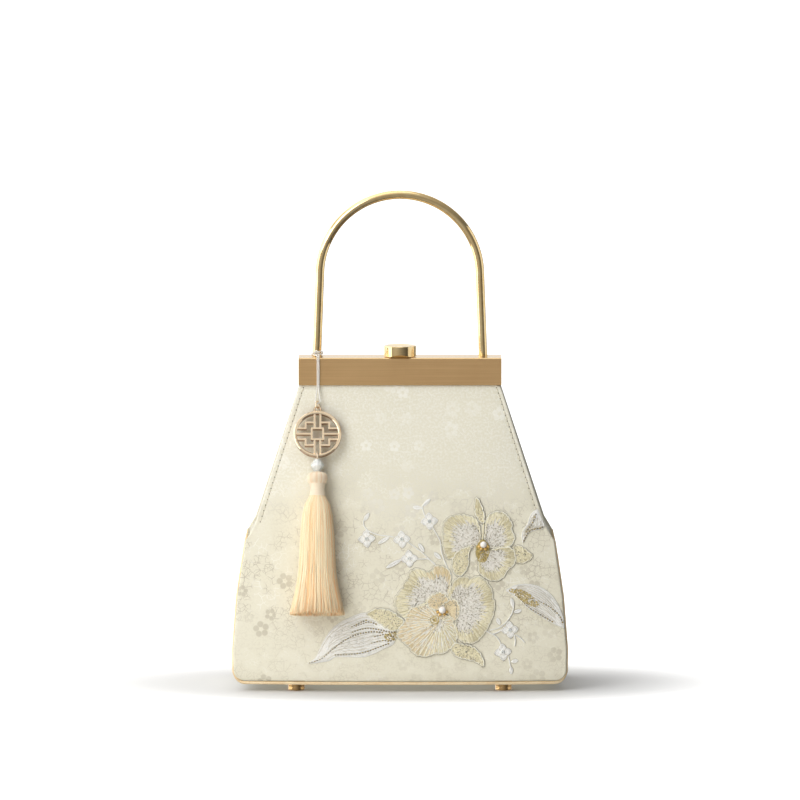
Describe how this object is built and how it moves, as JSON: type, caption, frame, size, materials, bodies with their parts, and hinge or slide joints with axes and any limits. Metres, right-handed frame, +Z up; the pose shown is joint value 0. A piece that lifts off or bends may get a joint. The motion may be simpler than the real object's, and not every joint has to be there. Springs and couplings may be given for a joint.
{
  "type": "kiss lock clutch bag",
  "caption": "Trapezoid brocade evening bag on a metal box frame with a round clasp and bow handle, gold piping, studs for feet, and a medallion and tassel charm on a cord.",
  "frame": {"origin": "on the table, under the middle of the body, level with the soles of the feet", "axes": "+Z up, +X to the right seen from the front, the face looks along -Y"},
  "size_m": [0.2112, 0.1019, 0.3115],
  "materials": {
    "brocade": "ivory jacquard, satin figure on a dull ground",
    "gold_leather": "soft metallic",
    "brushed_gold": "brushed",
    "polished_gold": "polished",
    "pale_gold": "polished, slightly rosy",
    "silk": "glossy silk thread",
    "thread": "matt twisted thread",
    "opal": "milky, faceted",
    "pearl": "pearl lustre"
  },
  "bodies": {
    "bag": {"face_panel": "brocade", "back_panel": "brocade", "gusset_right": "brocade", "gusset_left": "brocade", "base_panel": "brocade", "piping_front": "gold_leather", "piping_back": "gold_leather", "foot_front_left": "polished_gold", "foot_back_left": "polished_gold", "foot_front_right": "polished_gold", "foot_back_right": "polished_gold", "frame_front": "brushed_gold", "frame_rear": "brushed_gold", "hinge_pin_right": "brushed_gold", "hinge_pin_left": "brushed_gold", "handle": "polished_gold", "clasp_pin": "polished_gold", "pearl_upper": "pearl", "pearl_lower": "pearl", "medallion": "pale_gold", "jump_ring": "pale_gold", "bead": "opal", "tassel": "silk", "charm_cord": "thread"},
    "clasp": {"clasp_lever": "polished_gold"}
  },
  "joints": [
    {"name": "clasp_lift", "type": "hinge", "parent": "bag", "child": "clasp", "pos_m": [0, 0.0078, 0.2096], "axis": [-1, 0, 0], "range_deg": [0, 40]}
  ]
}
